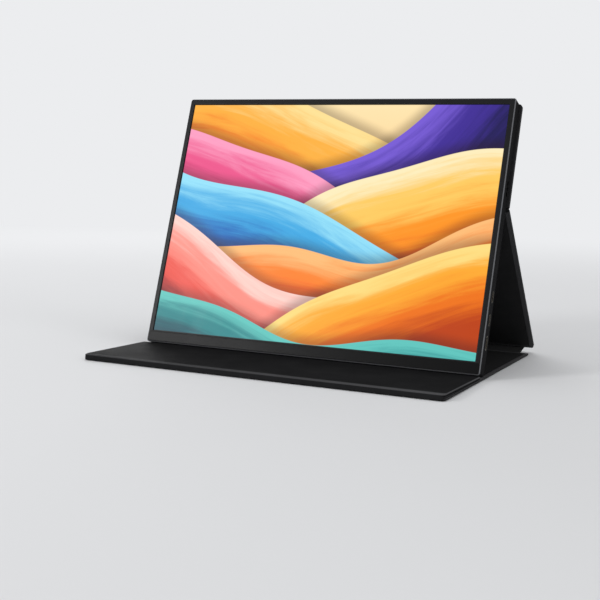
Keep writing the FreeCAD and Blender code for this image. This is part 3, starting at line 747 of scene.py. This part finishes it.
bezelLook = {"dark": tint(15, 15, 17), "light": tint(20, 20, 22), "rough": (0.32, 0.4), "grain": 3000.0,
             "bump": 0.08, "gloss": 0.14}
bezelShape = {"outerRound": 1.2 * mm, "innerRound": 0.4 * mm, "footRound": 0.3 * mm, "edge": 0.06 * mm,
              "edgeFlat": 0.5 * mm, "lip": 0.28 * mm, "lipFlat": 0.4 * mm, "footFlat": 0.05 * mm}
chinLook = {"dark": tint(9, 9, 10), "light": tint(13, 13, 14), "rough": (0.28, 0.33), "grain": 2600.0,
            "bump": 0.12, "gloss": 0.078}
chinShape = {"footRound": 1.2 * mm, "headRound": 0.3 * mm, "rounds": (0.05 * mm, 0.14 * mm), "flat": 0.6 * mm}
faceShape = {"grow": 0.62 * mm, "proud": 0.02 * mm}      # out over the housing's flat edge, up to its chamfer
bezelFinish = satinFinish("borderFilm", bezelLook)
chinFinish = satinFinish("chinSatin", chinLook)


def buildBezel():
    # a section carried round the screen: outer wall, front face, rounded lip down to the glass, back face
    shape, box = bezelShape, pictureBox
    (half, foot, head), low, high = flatBounds("front_bezel", monitorFrame)
    half, head, high = half + faceShape["grow"], head + faceShape["grow"], high + faceShape["proud"]
    lip, edge, outer = shape["lip"], shape["edge"], shape["lip"] + shape["lipFlat"]
    turn = np.radians(np.linspace(0, 90, 6))
    inward = lip * (1 - np.sin(turn))          # the lip's width at the front face, 0 on the opening's wall
    rim = np.array([0, 0, edge, shape["edgeFlat"]])
    openHalf = np.concatenate([half - rim, [box["half"] + outer], box["half"] + inward, [box["half"]]])
    openLow = np.concatenate([foot + np.minimum(rim, edge), [box["low"] - lip - shape["footFlat"]],
                              box["low"] - inward, [box["low"]]])
    openHigh = np.concatenate([head - rim, [box["high"] + outer], box["high"] + inward, [box["high"]]])
    height = np.concatenate([[low, high - edge, high, high, high], high - lip * (1 - np.cos(turn)), [low]])
    share = np.linspace(0, 1, len(height))
    headRound = shape["outerRound"] * (1 - share) + shape["innerRound"] * share
    footRound = np.full(len(share), shape["footRound"])
    corner = np.stack([headRound, headRound, footRound, footRound], -1)
    u, v = outlineRings(openHalf, openLow, openHigh, corner, steps=5)
    bezel = meshPiece("borderFrame", placed(monitorFrame, u, v, height[:, None]), gridFaces(*u.shape, True),
                      finishes=(bezelFinish,), sharp=50)
    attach(bezel, "monitor")
    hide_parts("front_bezel")


def buildChin():
    # bare plate below the screen: small quarter arcs round its faces, wider ones at its two lower corners
    shape, grow = chinShape, faceShape["grow"]
    (half, foot, head), low, high = flatBounds("chin_bar", monitorFrame)
    profile = edgeProfile(low, high + faceShape["proud"], *shape["rounds"], flat=shape["flat"], steps=3)
    corners = np.repeat([shape["headRound"], shape["footRound"]], 2)
    chin = wrappedPlate("chinPlate", monitorFrame, (half + grow, foot - grow, head), corners, profile,
                        chinFinish)
    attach(chin, "monitor")
    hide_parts("chin_bar")


buildBezel()
buildChin()

# the chamfer's light grey also stands in for its glint; a painted glint round each socket; painted black
# shade in the well round each key
housingLook = {"dark": tint(25, 25, 26), "light": tint(31, 31, 32), "rough": (0.5, 0.62), "grain": 2800.0,
               "bump": 0.12, "gloss": 0.004, "bevel": tint(104, 105, 108), "bevelDeep": 0.92 * mm,
               "bevelSoft": 0.06 * mm, "bevelFrom": 0.02 * mm, "bevelMetal": 0.2, "bevelSmooth": 0.16,
               "socketGlint": 0.7 * mm, "socketGlintTint": tint(80, 78, 74),
               "keyShade": 0.12 * mm, "keyShadeTint": tint(2, 2, 2)}
socketLook = {"dark": tint(168, 160, 148), "light": tint(196, 188, 174), "rough": (0.26, 0.36),
              "grain": 2600.0, "mouth": tint(70, 62, 52), "mouthMetal": 0.1, "wall": 0.3 * mm}
socketNodes = ("usb_c_upper", "usb_c_lower", "mini_video_socket")
keyNodes = ("power_key", "menu_key", "volume_key")


def sideStadium(tree, node, widen):
    # 1 inside the stadium outline of a socket or key, widened all round
    low, high = nodeBox(node, monitorFrame)
    thick = (high[2] - low[2]) / 2
    return placeGroup(tree, stadium, {
        "Vector": ownCoords(tree, monitorFrame), "Middle": ((low + high) / 2).tolist(),
        "Half": (high[1] - low[1]) / 2 - thick, "Radius": thick + widen})["Inside"]


def housingFinish(look):
    # dark blasted metal; the cut chamfer round the front edge is light grey, partly cut metal and partly a
    # painted highlight standing in for its glint; a fainter painted glint round the sockets on the right
    # side; painted black shade in the wells of the keys there
    material, tree, shader = newMaterial("housingMetal")
    local = parts(tree, ownCoords(tree, monitorFrame))
    deep, soft = look["bevelDeep"], look["bevelSoft"]
    # painted highlight: the chamfer band takes a light grey of cut metal that stands in for its glint
    cut = sums(tree, "MULTIPLY", spread(tree, local["Z"], -deep, soft - deep, 0.0, 1.0),
               spread(tree, local["Z"], -soft, -look["bevelFrom"], 1.0, 0.0))
    onRight = spread(tree, local["X"], 0.0, 1 * mm, 0.0, 1.0)
    coat, dull, height = satinParts(tree, look)
    # painted glint round each socket, painted black shade in the well round each key
    for kind, places in (("socketGlint", socketNodes), ("keyShade", keyNodes)):
        for node in places:
            inside = sums(tree, "MULTIPLY", sideStadium(tree, node, look[kind]), onRight)
            coat = blended(tree, inside, coat, look[kind + "Tint"])
    smoother = sums(tree, "MULTIPLY", cut, look["bevelSmooth"])
    feed(tree, shader, {"Base Color": blended(tree, cut, coat, look["bevel"]),
                        "Metallic": spread(tree, cut, 0.0, 1.0, 0.0, look["bevelMetal"]),
                        "Roughness": sums(tree, "SUBTRACT", dull, smoother),
                        "Normal": bumped(tree, height, look["bump"], 0.06 * mm),
                        "Specular IOR Level": look["gloss"]})
    return material


def socketFinish(name, look, node):
    # bright shell, warm dark mouth and tongue inside its stadium
    material, tree, shader = newMaterial(name)
    inside = sideStadium(tree, node, -look["wall"])
    shell, rough = satinParts(tree, look)[:2]
    feed(tree, shader, {"Base Color": blended(tree, inside, shell, look["mouth"]), "Roughness": rough,
                        "Metallic": spread(tree, inside, 0.0, 1.0, 1.0, look["mouthMetal"])})
    return material


def finishNode(name, material):
    mesh = nodes[name].data
    mesh.materials.clear()
    mesh.materials.append(material)


finishNode("rear_housing", housingFinish(housingLook))
for socketNode in socketNodes:
    finishNode(socketNode, socketFinish(socketNode + "Metal", socketLook, socketNode))
print("monitor face, housing and sockets finished")


# Keys and inner parts, one finish for each kind

def toned(dark, light, rough, **more):
    # look between two tones, with its roughness where marked and where clean
    return {"dark": tint(*dark), "light": tint(*light), "rough": rough, **more}


partLooks = {
    "keySatin": (toned((4, 4, 4), (7, 7, 7), (0.45, 0.6), gloss=0.0), keyNodes),
    "greyBoard": (toned((92, 88, 82), (120, 115, 106), (0.8, 0.95), grain=1200.0, clouds=60.0, gloss=0.15),
                  ("base_board", "front_pad_board", "leg_board", "upper_board")),
    "nickelMagnet": (toned((150, 150, 152), (186, 186, 188), (0.22, 0.34), metal=1.0),
                     ("front_pad_magnets", "upper_magnets")),
    "blackTape": (toned((16, 16, 17), (26, 26, 27), (0.6, 0.8), grain=1500.0, gloss=0.3), ("bezel_tape",)),
    "milkySheet": (toned((222, 222, 220), (240, 240, 238), (0.45, 0.6), clouds=8.0),
                   ("diffuser_sheets", "reflector_sheet")),
    "clearGuide": (toned((206, 216, 220), (228, 235, 238), (0.08, 0.16), clouds=6.0), ("light_guide",)),
    "rolledPlate": (toned((142, 144, 147), (172, 174, 176), (0.34, 0.48), metal=1.0, grain=900.0),
                    ("panel_backplate", "keeper_plate")),
    "framePlastic": (toned((204, 204, 202), (222, 222, 220), (0.5, 0.66), grain=1600.0), ("panel_frame",)),
    "lampBar": (toned((216, 206, 160), (244, 238, 206), (0.3, 0.45), clouds=300.0), ("led_bar",)),
    "switchPlastic": (toned((40, 40, 43), (58, 58, 62), (0.4, 0.55)), ("key_switches",)),
    "greenBoard": (toned((14, 62, 38), (26, 92, 54), (0.3, 0.46), grain=700.0, clouds=420.0, bump=0.3),
                   ("key_board", "main_board", "panel_driver_board")),
    "chipResin": (toned((20, 20, 21), (32, 32, 33), (0.55, 0.7), grain=1800.0), ("board_chips",)),
    "amberRibbon": (toned((150, 86, 22), (186, 116, 38), (0.3, 0.45), clouds=260.0), ("panel_ribbon",)),
    "speakerBlack": (toned((18, 18, 19), (34, 34, 35), (0.5, 0.7), grain=1100.0, bump=0.4),
                     ("speaker_left", "speaker_right")),
    "screwSteel": (toned((128, 128, 130), (168, 168, 170), (0.28, 0.4), metal=1.0, grain=1500.0),
                   ("board_screws", "housing_screws")),
    "castPost": (toned((120, 121, 124), (150, 151, 154), (0.42, 0.55), metal=1.0), ("panel_posts",)),
}
for finishName, (partLook, partNodes) in partLooks.items():
    partFinish = satinFinish(finishName, partLook)
    for partNode in partNodes:
        finishNode(partNode, partFinish)
print("keys and inner parts finished")


# Floor, light and camera

floorLook = {"plain": tint(226, 227, 229), "cloud": tint(200, 201, 203), "cloudShare": 0.04, "rough": 0.9,
             "gloss": 0.1, "reach": 7.0, "under": 0.4 * mm, "fadeFrom": 0.55, "fadeTo": 2.2}
roomLook = {"backdrop": tint(236, 237, 239), "ambient": 0.52}


def seenRays(tree):
    # 1 for what the camera sees, straight or in a mirror or through glass, 0 for the light that things shed
    path = put(tree, "ShaderNodeLightPath").outputs
    return sums(tree, "MAXIMUM", path["Is Camera Ray"],
                sums(tree, "MAXIMUM", path["Is Glossy Ray"], path["Is Transmission Ray"]))


def mixedOut(tree, share, first, second, output):
    # two shaders mixed by a share, put into the output node
    both = put(tree, "ShaderNodeMixShader", {0: share, 1: first.outputs[0], 2: second.outputs[0]})
    feed(tree, nodeOf(tree, output), {"Surface": both.outputs[0]})


def buildFloor(look):
    # flat floor whose shading fades with distance into the plain backdrop colour
    corners = np.array([[-1, -1], [1, -1], [1, 1], [-1, 1]]) * look["reach"]
    points = np.concatenate([corners, np.full((4, 1), -look["under"])], 1)
    material, tree, shader = newMaterial("paleFloor")
    coords = ownCoords(tree)
    far = vectors(tree, "LENGTH", coords)["Value"]
    fade = spread(tree, far, look["fadeFrom"], look["fadeTo"], 0.0, 1.0, True)
    soft = spread(tree, noise(tree, coords, 3.0, 3.0), 0.3, 0.7, 0.0, look["cloudShare"])
    feed(tree, shader, {"Base Color": blended(tree, soft, look["plain"], look["cloud"]),
                        "Roughness": look["rough"], "Specular IOR Level": look["gloss"]})
    glow = put(tree, "ShaderNodeEmission", {"Color": roomLook["backdrop"], "Strength": 1.0})
    mixedOut(tree, sums(tree, "MULTIPLY", fade, seenRays(tree)), shader, glow, "OUTPUT_MATERIAL")
    floor = meshPiece("paleFloorSheet", points, np.array([[0, 1, 2, 3]]), finishes=(material,))


def buildRoom(look):
    # even light from all sides in front of a plain backdrop
    world = bpy.data.worlds.new("softRoom")
    world.use_nodes = True
    scene.world = world
    tree = world.node_tree
    ambient = nodeOf(tree, "BACKGROUND")
    feed(tree, ambient, {"Color": (1.0, 1.0, 1.0, 1.0), "Strength": look["ambient"]})
    plain = put(tree, "ShaderNodeBackground", {"Color": look["backdrop"], "Strength": 1.0})
    mixedOut(tree, seenRays(tree), ambient, plain, "OUTPUT_WORLD")


buildFloor(floorLook)
buildRoom(roomLook)

lampTarget = (0, 0, 0.08)
lamps = {
    "keySoftbox": {"place": (-1.51, -1.9, 0.96), "size": (0.6, 0.6), "power": 24.0},
    "sideSoftbox": {"place": (2.5, -0.55, 1.05), "size": (0.9, 1.1), "power": 9.0},
    "topSoftbox": {"place": (0.0, 0.3, 2.6), "size": (1.8, 1.8), "power": 14.0},
    "backSoftbox": {"place": (-1.7, 2.0, 0.9), "size": (1.6, 1.2), "power": 18.0},
}


def aimed(place, target, roll=0.0):
    # turn that points -Z from place to target
    back = np.asarray(place, float) - np.asarray(target, float)
    back = back / np.linalg.norm(back)
    right = np.cross([0, 0, 1], back)
    right = right / np.linalg.norm(right)
    up = np.cross(back, right)
    c, s = math.cos(roll), math.sin(roll)
    return np.stack([c * right + s * up, c * up - s * right, back], -1)


def setPlace(thing, place, axes):
    whole = np.eye(4)
    whole[:3, :3] = axes
    whole[:3, 3] = place
    thing.matrix_world = Matrix(whole.tolist())


for lampName, lampLook in lamps.items():
    light = bpy.data.lights.new(lampName, "AREA")
    light.shape = "RECTANGLE"
    light.size, light.size_y = lampLook["size"]
    light.energy = lampLook["power"]
    lamp = bpy.data.objects.new(lampName, light)
    scene.collection.objects.link(lamp)
    lamp.visible_camera = False
    setPlace(lamp, lampLook["place"], aimed(lampLook["place"], lampTarget))

viewPoint = {"place": (0.40663, -0.90766, 0.16436), "yaw": 25.294, "pitch": 6.556, "roll": 1.535,
             "lens": 66.752, "sensor": 36.0, "clip": (0.01, 50.0)}


def buildCamera():
    yaw, pitch, roll = (math.radians(viewPoint[name]) for name in ("yaw", "pitch", "roll"))
    ahead = np.array([-math.sin(yaw) * math.cos(pitch), math.cos(yaw) * math.cos(pitch), -math.sin(pitch)])
    data = bpy.data.cameras.new("photoView")
    data.sensor_width = viewPoint["sensor"]
    data.lens = viewPoint["lens"]
    data.clip_start, data.clip_end = viewPoint["clip"]
    camera = bpy.data.objects.new("photoView", data)
    scene.collection.objects.link(camera)
    place = np.array(viewPoint["place"])
    setPlace(camera, place, aimed(place, place + ahead, roll))
    scene.camera = camera


buildCamera()
print("stage, lamps and camera set")
